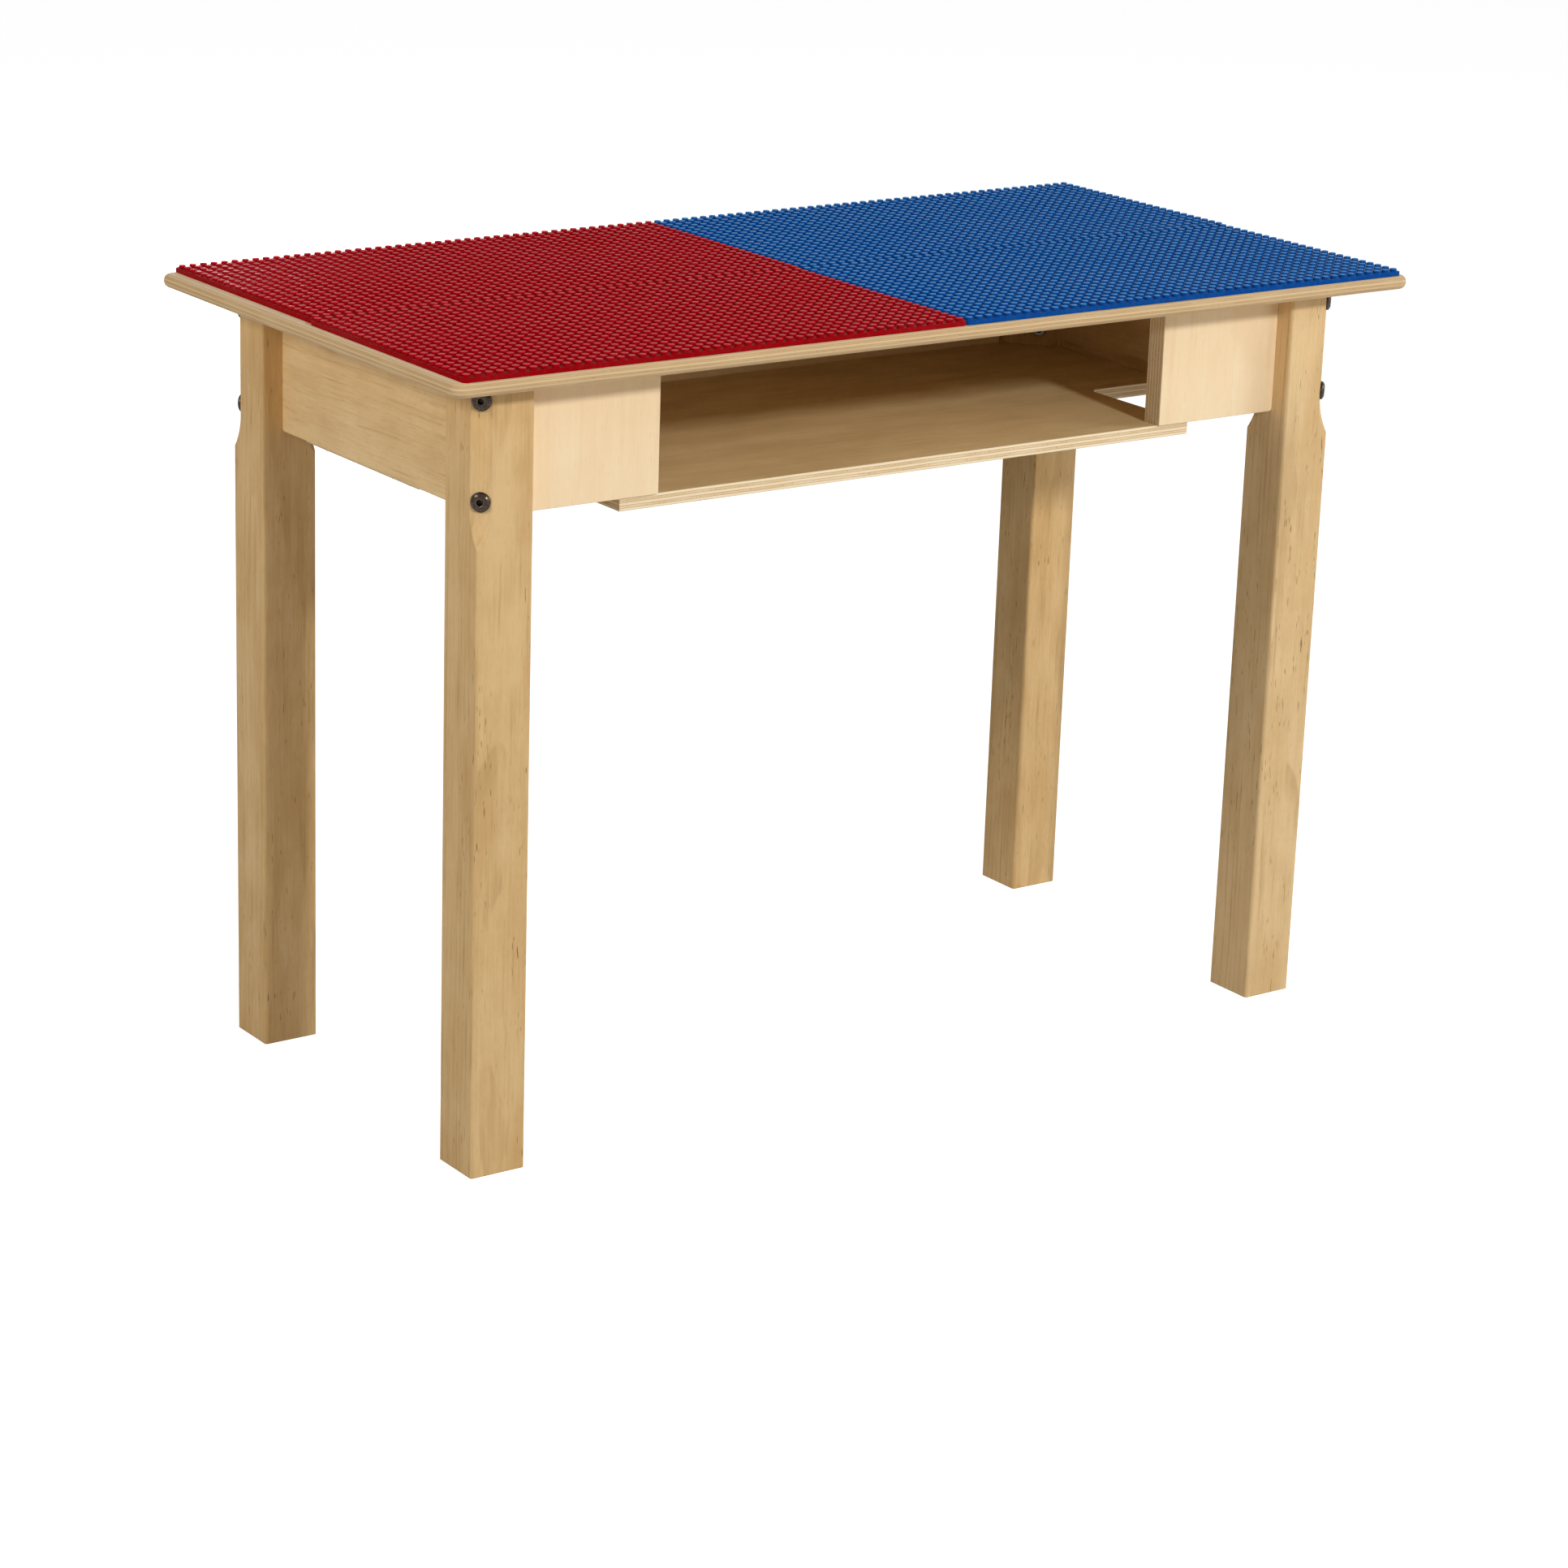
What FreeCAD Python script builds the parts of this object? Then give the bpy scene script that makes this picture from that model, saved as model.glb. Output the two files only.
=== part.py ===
import FreeCAD, Part
import math
import os

from FreeCAD import Placement, Rotation, Vector

# Play table with a studded building surface. Millimetres, +Z up.
# The origin is on the floor under the middle of the table top.
# +X runs along the long side and -Y is the front, with the storage bay.

# Studded plates, moulded sheets that lie on the table top. A plate has a stud in every
# column and row; the solids carry those at the outer corners of the field, as an interface.
STUD_PITCH = 8.0
STUD_RADIUS = 2.4
STUD_HEIGHT = 1.8
PLATE_COLUMNS = 48
PLATE_ROWS = 24
PLATE_THICKNESS = 3.2
PLATE_CORNER_RADIUS = 2.5
PLATE_GAP = 0.2
REAR_PLATE_SHIFT = 2.6
CORNER_STUDS = 2

# Table top, plywood with rounded edges
TOP_THICKNESS = 9.5
TOP_END_MARGIN = 7.0
TOP_SIDE_MARGIN = 3.0
TOP_CORNER_RADIUS = 8.0
TOP_EDGE_LAND = 1.0

# Legs, square hardwood posts relieved across two corners at the upper end
LEG_HEIGHT = 531.0
LEG_SIZE = 41.0
LEG_END_INSET = 37.1
LEG_SIDE_INSET = 34.6
LEG_EDGE_RADIUS = 2.0
RELIEF_LEG = 10.0
RELIEF_LANDING = 0.2
SCOOP_LENGTH = 25.0

# Aprons between the legs
APRON_HEIGHT = 90.0
END_APRON_SETBACK = 15.4
SIDE_APRON_SETBACK = 15.4
APRON_CORNER_RADIUS = 2.0
END_APRON_THICKNESS = 25.0
SIDE_APRON_THICKNESS = 16.0
BAY_OPENING = 418.5

# Storage shelf under the aprons
SHELF_THICKNESS = 9.0
SHELF_FRONT_SETBACK = 2.5
SHELF_FRONT_LAP = 28.0
SHELF_END_LAP = 8.0
SHELF_NOTCH_DEPTH = 110.0
SHELF_NOTCH_RADIUS = 8.0
SHELF_LEG_CLEARANCE = 2.0

# Corner blocks that the legs are bolted to
BLOCK_REACH = 24.0
RAIL_RELIEF = 0.7

# Leg bolts, button heads with a hex socket
BOLT_RADIUS = 3.0
BOLT_CLEARANCE = 0.3
BOLT_DROP = 12.0
BOLT_RISE = 13.4
BOLT_HEAD_RADIUS = 6.5
BOLT_HEAD_HEIGHT = 3.0
BOLT_CROWN_RADIUS = 4.8
BOLT_SOCKET_FLATS = 4.0
BOLT_SOCKET_DEPTH = 2.0
BOLT_END = 1.5

# Nuts on the inner faces of the corner blocks
NUT_FLATS = 10.0
NUT_THICKNESS = 5.0
NUT_FIT = 0.05

# Working values for cuts and for finding edges
OVERRUN = 5.0
TOLERANCE = 0.001

# Places that follow from the sizes
root2 = math.sqrt(2)
plate_length = PLATE_COLUMNS * STUD_PITCH - PLATE_GAP
plate_depth = PLATE_ROWS * STUD_PITCH - PLATE_GAP
half_field_x = PLATE_COLUMNS * STUD_PITCH
half_field_y = PLATE_ROWS * STUD_PITCH
half_top_x = half_field_x + TOP_END_MARGIN
half_top_y = half_field_y + TOP_SIDE_MARGIN
top_upper_z = LEG_HEIGHT + TOP_THICKNESS
plate_upper_z = top_upper_z + PLATE_THICKNESS
leg_outer_x = half_top_x - LEG_END_INSET
leg_outer_y = half_top_y - LEG_SIDE_INSET
leg_inner_x = leg_outer_x - LEG_SIZE
leg_inner_y = leg_outer_y - LEG_SIZE
end_apron_outer_x = leg_outer_x - END_APRON_SETBACK
end_apron_inner_x = end_apron_outer_x - END_APRON_THICKNESS
side_apron_outer_y = leg_outer_y - SIDE_APRON_SETBACK
side_apron_inner_y = side_apron_outer_y - SIDE_APRON_THICKNESS
apron_bottom_z = LEG_HEIGHT - APRON_HEIGHT
shelf_bottom_z = apron_bottom_z - SHELF_THICKNESS
shelf_front_x = BAY_OPENING / 2 + SHELF_FRONT_LAP
shelf_front_y = side_apron_outer_y - SHELF_FRONT_SETBACK
bolt_upper_z = LEG_HEIGHT - BOLT_DROP
bolt_lower_z = apron_bottom_z + BOLT_RISE


def edges_at(solid, x=None, y=None, z=None):
    """Edges that lie wholly at the coordinates given."""
    picked = []
    for edge in solid.Edges:
        box = edge.BoundBox
        spans = []
        if x is not None:
            spans += [box.XMin - x, box.XMax - x]
        if y is not None:
            spans += [box.YMin - y, box.YMax - y]
        if z is not None:
            spans += [box.ZMin - z, box.ZMax - z]
        if max(abs(span) for span in spans) < TOLERANCE:
            picked.append(edge)
    return picked


def panel(x0, x1, y0, y1, z0, z1):
    """Square-edged board between two corners."""
    return Part.makeBox(x1 - x0, y1 - y0, z1 - z0, Vector(x0, y0, z0))


def turned(points, origin, direction):
    """Solid of revolution from (radius, height) points, stood on an axis."""
    corners = [Vector(radius, 0, height) for radius, height in points]
    profile = Part.Face(Part.makePolygon(corners + corners[:1]))
    solid = profile.revolve(Vector(0, 0, 0), Vector(0, 0, 1), 360)
    solid.Placement = Placement(origin, Rotation(Vector(0, 0, 1), direction))
    return solid


def mirrored(shape, across_x, across_y):
    """The same piece at another corner of the table."""
    copy = shape.copy()
    if across_x:
        copy = copy.mirror(Vector(0, 0, 0), Vector(1, 0, 0))
    if across_y:
        copy = copy.mirror(Vector(0, 0, 0), Vector(0, 1, 0))
    return copy


def save(name, shape):
    """Write one piece, or one group of like pieces."""
    for solid in shape.Solids:
        if not solid.isValid() or solid.Volume <= 0:
            raise ValueError(name)
    print(name, len(shape.Solids), round(shape.Volume))
    shape.exportStep("parts/" + name + ".step")


# Plates
def corner_studs(side_x, side_y):
    """Studs at the outer corner of one plate, at its place on the grid of the field."""
    shift = REAR_PLATE_SHIFT if side_y > 0 else 0
    studs = []
    for column in range(CORNER_STUDS):
        for row in range(CORNER_STUDS):
            x = shift + side_x * (half_field_x - STUD_PITCH * (column + 1 / 2))
            y = side_y * (half_field_y - STUD_PITCH * (row + 1 / 2))
            studs.append(Part.makeCylinder(STUD_RADIUS, STUD_HEIGHT, Vector(x, y, plate_upper_z)))
    return studs


def studded_plate(side_x, side_y):
    """Moulded sheet with rounded corners over one quarter of the field."""
    shift = REAR_PLATE_SHIFT if side_y > 0 else 0
    x0 = shift + side_x * half_field_x / 2 - plate_length / 2
    y0 = side_y * half_field_y / 2 - plate_depth / 2
    sheet = panel(x0, x0 + plate_length, y0, y0 + plate_depth, top_upper_z, plate_upper_z)
    corners = []
    for x in (x0, x0 + plate_length):
        for y in (y0, y0 + plate_depth):
            corners += edges_at(sheet, x=x, y=y)
    sheet = sheet.makeFillet(PLATE_CORNER_RADIUS, corners)
    return sheet.multiFuse(corner_studs(side_x, side_y)).removeSplitter()


# Table top
def table_top():
    """Board with rounded plan corners and a rolled edge all round."""
    board = panel(-half_top_x, half_top_x, -half_top_y, half_top_y, LEG_HEIGHT, top_upper_z)
    corners = []
    for x in (-half_top_x, half_top_x):
        for y in (-half_top_y, half_top_y):
            corners += edges_at(board, x=x, y=y)
    board = board.makeFillet(TOP_CORNER_RADIUS, corners)
    rims = edges_at(board, z=LEG_HEIGHT) + edges_at(board, z=top_upper_z)
    return board.makeFillet((TOP_THICKNESS - TOP_EDGE_LAND) / 2, rims)


# Legs. Everything at a corner is modelled at the +X +Y one and mirrored.
# Depths run inward from the leg's outer corner, along the diagonal of its section.
inward = Vector(-1, -1, 0).normalize()
across = Vector(1, -1, 0).normalize()
up = Vector(0, 0, 1)
leg_corner = Vector(leg_outer_x, leg_outer_y, 0)
leg_diagonal = LEG_SIZE * root2
relief_depth = RELIEF_LEG / root2
relief_length = LEG_HEIGHT - bolt_lower_z + BOLT_HEAD_RADIUS + RELIEF_LANDING
side_face = SIDE_APRON_SETBACK + SIDE_APRON_THICKNESS
end_face = END_APRON_SETBACK + END_APRON_THICKNESS
block_near = leg_diagonal - relief_depth
block_far = (side_face + end_face) / root2 + BLOCK_REACH


def diagonal_point(depth, z):
    """Point over the diagonal of the leg's section."""
    return leg_corner + inward * depth + up * z


def relief_cutter(from_inner_corner):
    """Flat across a corner that runs out in a scoop, as a router bit leaves it."""
    scoop_top = LEG_HEIGHT - relief_length
    scoop_radius = (SCOOP_LENGTH ** 2 + relief_depth ** 2) / (2 * relief_depth)
    half_turn = math.asin(SCOOP_LENGTH / scoop_radius) / 2
    middle = (relief_depth - scoop_radius * (1 - math.cos(half_turn)),
              scoop_top - scoop_radius * math.sin(half_turn))
    outline = [(-OVERRUN, LEG_HEIGHT + OVERRUN),
               (relief_depth, LEG_HEIGHT + OVERRUN),
               (relief_depth, scoop_top),
               middle,
               (0, scoop_top - SCOOP_LENGTH),
               (-OVERRUN, scoop_top - SCOOP_LENGTH)]
    if from_inner_corner:
        outline = [(leg_diagonal - depth, z) for depth, z in outline]
    start = across * (-LEG_SIZE)
    a, b, c, d, e, f = [diagonal_point(depth, z) + start for depth, z in outline]
    edges = [Part.LineSegment(a, b).toShape(),
             Part.LineSegment(b, c).toShape(),
             Part.Arc(c, d, e).toShape(),
             Part.LineSegment(e, f).toShape(),
             Part.LineSegment(f, a).toShape()]
    return Part.Face(Part.Wire(edges)).extrude(across * (2 * LEG_SIZE))


def leg_post():
    """Leg before it is drilled."""
    post = panel(leg_inner_x, leg_outer_x, leg_inner_y, leg_outer_y, 0, LEG_HEIGHT)
    arrises = []
    for x in (leg_inner_x, leg_outer_x):
        for y in (leg_inner_y, leg_outer_y):
            arrises += edges_at(post, x=x, y=y)
    post = post.makeFillet(LEG_EDGE_RADIUS, arrises)
    return post.cut([relief_cutter(False), relief_cutter(True)])


# Aprons
def end_rail_stock():
    """Solid rail of one end, its inner corners bevelled beside the leg bolts."""
    rail = panel(end_apron_inner_x, end_apron_outer_x, -leg_inner_y, leg_inner_y,
                 apron_bottom_z, LEG_HEIGHT)
    return rail.cut([rail_bevel(), mirrored(rail_bevel(), False, True)])


def rail_bevel():
    """Cutter for all that lies within reach of the bolt holes, on their inner side."""
    outer = across * (BOLT_RADIUS + BOLT_CLEARANCE + RAIL_RELIEF)
    inner = across * (-block_far)
    near = diagonal_point(0, apron_bottom_z)
    far = diagonal_point(block_far, apron_bottom_z)
    points = [near + inner, near + outer, far + outer, far + inner]
    return Part.Face(Part.makePolygon(points + points[:1])).extrude(up * APRON_HEIGHT)


def end_apron():
    """End rail with its lower corners rounded beside the legs."""
    rail = end_rail_stock()
    corners = [edge for edge in edges_at(rail, z=apron_bottom_z)
               if min(abs(abs(vertex.Y) - leg_inner_y) for vertex in edge.Vertexes) < TOLERANCE
               and edge.BoundBox.YLength < TOLERANCE]
    return rail.makeFillet(APRON_CORNER_RADIUS, corners)


def rear_apron():
    """Plywood rail along the back."""
    rail = panel(-leg_inner_x, leg_inner_x, side_apron_inner_y, side_apron_outer_y,
                 apron_bottom_z, LEG_HEIGHT)
    corners = (edges_at(rail, x=-leg_inner_x, z=apron_bottom_z)
               + edges_at(rail, x=leg_inner_x, z=apron_bottom_z))
    return rail.makeFillet(APRON_CORNER_RADIUS, corners)


def front_fascia():
    """Plywood panel beside the bay opening, modelled at the right."""
    rail = panel(BAY_OPENING / 2, leg_inner_x, -side_apron_outer_y, -side_apron_inner_y,
                 apron_bottom_z, LEG_HEIGHT)
    corners = edges_at(rail, x=leg_inner_x, z=apron_bottom_z)
    return rail.makeFillet(APRON_CORNER_RADIUS, corners)


# Corner blocks, coped over the relieved inner corner of the leg
def corner_block(post):
    """Diagonal block that fills the corner between the leg and the two rails."""
    seat = block_near * root2
    reach = block_far * root2
    nose = min(LEG_SIZE - RELIEF_LEG, side_face, end_face)
    plan = [(nose, seat - nose), (seat - nose, nose), (reach - nose, nose), (nose, reach - nose)]
    points = [Vector(leg_outer_x - u, leg_outer_y - v, apron_bottom_z) for u, v in plan]
    block = Part.Face(Part.makePolygon(points + points[:1])).extrude(up * APRON_HEIGHT)
    side_rail = panel(-leg_inner_x, leg_inner_x, side_apron_inner_y, side_apron_outer_y,
                      apron_bottom_z, LEG_HEIGHT)
    return block.cut([end_rail_stock(), side_rail, post])


# Fasteners
def leg_bolt(z):
    """Machine bolt through the leg and the block, head on the outer flat."""
    length = block_far - relief_depth + NUT_THICKNESS + BOLT_END
    points = [(0, -BOLT_HEAD_HEIGHT),
              (BOLT_CROWN_RADIUS, -BOLT_HEAD_HEIGHT),
              (BOLT_HEAD_RADIUS, 0),
              (BOLT_RADIUS, 0),
              (BOLT_RADIUS, length),
              (0, length)]
    seat = diagonal_point(relief_depth, z)
    socket = hexagon(seat - inward * BOLT_HEAD_HEIGHT, BOLT_SOCKET_FLATS, BOLT_SOCKET_DEPTH)
    return turned(points, seat, inward).cut(socket)


def hexagon(centre, flats, length):
    """Six-sided prism along the bolt axis, with a flat at the side."""
    points = []
    for step in range(6):
        angle = math.radians(60 * step + 30)
        reach = flats / math.sqrt(3)
        points.append(centre + across * (reach * math.cos(angle)) + up * (reach * math.sin(angle)))
    return Part.Face(Part.makePolygon(points + points[:1])).extrude(inward * length)


def leg_nut(z):
    """Hexagon nut against the inner face of the block."""
    face = diagonal_point(block_far, z)
    return hexagon(face, NUT_FLATS, NUT_THICKNESS).cut(drill(BOLT_RADIUS + NUT_FIT, z))


def drill(radius, z):
    """Hole on a bolt's axis, through the leg, the block and the nut."""
    length = block_far + NUT_THICKNESS + 2 * OVERRUN
    return Part.makeCylinder(radius, length, diagonal_point(-OVERRUN, z), inward)


bolt_levels = (bolt_lower_z, bolt_upper_z)
bolt_holes = [drill(BOLT_RADIUS + BOLT_CLEARANCE, z) for z in bolt_levels]
corners = {"rear_right": (False, False),
           "rear_left": (True, False),
           "front_right": (False, True),
           "front_left": (True, True)}


def at_corners(shapes):
    """The shapes of one corner, repeated at all four."""
    return [mirrored(shape, *flips) for flips in corners.values() for shape in shapes]


# Storage shelf, notched round the front legs and the rear legs
def storage_shelf():
    """Board under the aprons, set back a little behind the fascia in front."""
    wide_x = end_apron_inner_x + SHELF_END_LAP
    narrow_x = leg_inner_x - SHELF_LEG_CLEARANCE
    notch_y = SHELF_NOTCH_DEPTH - shelf_front_y
    leg_y = leg_inner_y - SHELF_LEG_CLEARANCE
    half = [(shelf_front_x, -shelf_front_y),
            (shelf_front_x, notch_y),
            (wide_x, notch_y),
            (wide_x, leg_y),
            (narrow_x, leg_y),
            (narrow_x, side_apron_outer_y)]
    plan = half + [(-x, y) for x, y in reversed(half)]
    points = [Vector(x, y, shelf_bottom_z) for x, y in plan]
    board = Part.Face(Part.makePolygon(points + points[:1])).extrude(Vector(0, 0, SHELF_THICKNESS))
    inner = (edges_at(board, x=shelf_front_x, y=notch_y)
             + edges_at(board, x=-shelf_front_x, y=notch_y))
    return board.makeFillet(SHELF_NOTCH_RADIUS, inner)


os.makedirs("parts", exist_ok=True)

save("table_top", table_top())
save("red_plate_front", studded_plate(-1, -1))
save("red_plate_rear", studded_plate(-1, 1))
save("blue_plate_front", studded_plate(1, -1))
save("blue_plate_rear", studded_plate(1, 1))

post = leg_post()
leg = post.cut(bolt_holes)
block = corner_block(post).cut(bolt_holes)
for name, flips in corners.items():
    save("leg_" + name, mirrored(leg, *flips))
    save("corner_block_" + name, mirrored(block, *flips))
save("end_apron_right", end_apron())
save("end_apron_left", mirrored(end_apron(), True, False))
save("rear_apron", rear_apron())
save("front_fascia_right", front_fascia())
save("front_fascia_left", mirrored(front_fascia(), True, False))
save("storage_shelf", storage_shelf())
save("leg_bolts", Part.makeCompound(at_corners([leg_bolt(z) for z in bolt_levels])))
save("leg_nuts", Part.makeCompound(at_corners([leg_nut(z) for z in bolt_levels])))
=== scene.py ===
import math

import bpy
from mathutils import Matrix, Vector


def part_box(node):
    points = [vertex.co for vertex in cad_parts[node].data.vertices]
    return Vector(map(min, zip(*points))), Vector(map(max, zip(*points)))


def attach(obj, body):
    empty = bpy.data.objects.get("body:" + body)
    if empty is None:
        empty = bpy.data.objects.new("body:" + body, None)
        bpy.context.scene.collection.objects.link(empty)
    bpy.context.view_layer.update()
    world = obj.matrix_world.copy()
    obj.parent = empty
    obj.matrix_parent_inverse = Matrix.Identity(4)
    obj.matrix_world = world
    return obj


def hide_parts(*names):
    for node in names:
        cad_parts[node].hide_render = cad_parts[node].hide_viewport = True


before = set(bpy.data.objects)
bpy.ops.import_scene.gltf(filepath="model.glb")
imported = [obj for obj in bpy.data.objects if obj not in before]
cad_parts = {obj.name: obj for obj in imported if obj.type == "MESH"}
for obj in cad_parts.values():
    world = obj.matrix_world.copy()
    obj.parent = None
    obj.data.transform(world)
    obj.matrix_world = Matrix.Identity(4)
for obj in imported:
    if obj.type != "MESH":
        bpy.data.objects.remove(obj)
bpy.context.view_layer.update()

# Low play table with four studded plates, in metres, Z up, its front towards -Y
MM = 0.001
EAST = Vector((1, 0, 0))
NORTH = Vector((0, 1, 0))
UP = Vector((0, 0, 1))

# Studded plates
STUD_PITCH = 8.0 * MM
STUD_RADIUS = 2.4 * MM
STUD_HEIGHT = 1.8 * MM
STUD_ROUNDING = 0.2 * MM
STUD_ROOT = 0.3 * MM
STUD_SIDES = 20
PLATE_COLUMNS = 48
PLATE_ROWS = 24
PLATE_THICKNESS = 3.2 * MM
PLATE_CORNER = 2.5 * MM
PLATE_ROUNDING = 0.35 * MM
PLATE_CORNER_STEPS = 6
STUD_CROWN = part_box("red_plate_front")[1].z

# Leg joint, with each bend of a bolt's head as its radius and its first and last tilt in degrees
LEGS = ("leg_front_left", "leg_front_right", "leg_rear_left", "leg_rear_right")
RELIEF_LEG = 10.0 * MM
BLOCK_REACH = 24.0 * MM
BOLT_RADIUS = 3.0 * MM
BOLT_HEAD_RADIUS = 6.5 * MM
BOLT_HEAD_HEIGHT = 3.0 * MM
BOLT_FACE_RADIUS = 4.25 * MM
BOLT_FACE_EASE = 0.15 * MM
BOLT_HEAD_BENDS = ((6.6 * MM, 22, 42), (0.9 * MM, 42, 90))
BOLT_BEND_STEPS = 5
BOLT_SOCKET_FLATS = 4.0 * MM
BOLT_SOCKET_DEPTH = 3.8 * MM
BOLT_SOCKET_EASE = 0.2 * MM
BOLT_END = 1.5 * MM
THREAD_PITCH = 1.0 * MM
THREAD_DEPTH = 0.3 * MM
THREAD_LENGTH = 22.0 * MM
NUT_FLATS = 10.0 * MM
NUT_THICKNESS = 5.0 * MM
NUT_EASE = 0.6 * MM
METAL_SIDES = 48

# Wood screws under the shelf
SCREW_RADIUS = 3.6 * MM
SCREW_FACE_RADIUS = 0.68 * SCREW_RADIUS
SCREW_CROWN = 0.5 * MM
SCREW_CROWN_SHARES = (0.0, 0.35, 0.65, 0.85, 1.0)
SCREW_ARM = 2.0 * MM
SCREW_ARM_HALF_WIDTH = 0.45 * MM
SCREW_RECESS = 0.42 * MM
SCREW_FLOOR_ARM = 0.6 * SCREW_ARM
SCREW_FLOOR_HALF_WIDTH = 0.8 * SCREW_ARM_HALF_WIDTH
FRONT_SCREW_EDGE = 14.0 * MM
END_SCREW_EDGE = SCREW_RADIUS + 1.0 * MM
REAR_SCREW_SHARES = (0.3, 0.9)
END_SCREW_PLACES = (-20.0 * MM, 90.0 * MM)

# Edges: the middle of a quarter arc lies this share of its radius inside each tangent
ARC_MIDDLE = 1 - math.sqrt(1 / 2)
CRISP_ANGLE = math.radians(40)

# Plywood
TOP_PLIES = 7
SHELF_PLIES = 5
RAIL_PLIES = 11

# Boards in their trees: a board's place, the step to the next one's, and the heart's way off
LEG_CUT = (0.0, 0.0, 0.0)
LEG_STEP = (0.7, -0.4, 1.3)
LEG_HEART_BEHIND = 0.11
LEG_HEART_STEP = 0.01
BLOCK_CUT = (3.1, 0.3, 2.0)
BLOCK_STEP = (0.7, 0.0, 0.0)
APRON_CUT = (5.0, 1.7, 0.4)
APRON_STEP = (1.0, 0.0, 0.0)
APRON_HEART = (0.45, -0.3)
TOP_CUT = (7.0, 0.2, 0.1)
TOP_HEART = (0.3, -0.1)
SHELF_CUT = (9.0, 0.5, 0.7)
SHELF_HEART = (0.2, 0.4)
RAIL_CUT = (11.0, 0.6, 0.0)
RAIL_STEP = (1.7, 0.0, 0.3)
RAIL_HEART = (0.1, -0.12)

# Camera, fitted to the corners and edges of the table in the photograph
CAMERA_PLACE = Vector((-1.7062, -2.3894, 1.1149))
CAMERA_HEADING = -35.557
CAMERA_TILT = -17.828
CAMERA_ROLL = 1.926
CAMERA_LENS = 98.84
SENSOR_WIDTH = 36.0

# Studio
FLOOR_REACH = 30.0
FLOOR_PAINT = (0.55, 0.55, 0.55, 1.0)
FLOOR_LIFT = 0.9
WORLD_LIGHT = 0.12
WHITE = (1.0, 1.0, 1.0, 1.0)
PLAIN_LIGHT = (1.0, 1.0, 1.0)
WARM_LIGHT = (1.0, 0.96, 0.89)


def srgb(red, green, blue):
    """Linear colour from the values that a paint chart gives."""
    linear = []
    for value in (red, green, blue):
        share = value / 255
        linear.append(share / 12.92 if share <= 0.04045 else ((share + 0.055) / 1.055) ** 2.4)
    return (*linear, 1.0)


# Finishes
MAPLE_PALE = srgb(228, 194, 141)
MAPLE_WARM = srgb(210, 171, 115)
MAPLE_RING = srgb(170, 130, 80)
MAPLE_RUBBED = srgb(229, 196, 146)
MAPLE_FLECKS = 0.7
LIGHT_LEG_PALE = srgb(236, 204, 154)
LIGHT_LEG_WARM = srgb(222, 186, 133)
APRON_PALE = srgb(240, 209, 158)
APRON_WARM = srgb(225, 189, 137)
APRON_FLECKS = 0.15
FLECK_BROWN = srgb(116, 78, 44)
BIRCH_PALE = srgb(255, 233, 194)
BIRCH_WARM = srgb(251, 222, 180)
BIRCH_RING = srgb(230, 196, 150)
SHELF_PALE = srgb(226, 200, 152)
SHELF_WARM = srgb(208, 179, 130)
TOP_EDGE = (srgb(224, 194, 150), srgb(204, 171, 126), srgb(166, 134, 92))
SHELF_EDGE = (srgb(255, 236, 200), srgb(232, 201, 156), srgb(152, 120, 80))
# The rails' edge tones are made paler as painted light, so that the cut ends of the front panels in the
# bay look lit
RAIL_EDGE_PAINTED_LIGHT = (srgb(253, 232, 196), srgb(224, 194, 150), srgb(128, 98, 62))
WOOD_SPECULAR = 0.1
PLASTIC_SPECULAR = 0.01
# Painted shade in the hollows of the metal: how far it reaches and how dark it goes
HOLLOW_REACH = 6.0 * MM
PAINTED_HOLLOW_SHADE = srgb(14, 11, 9)


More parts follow.
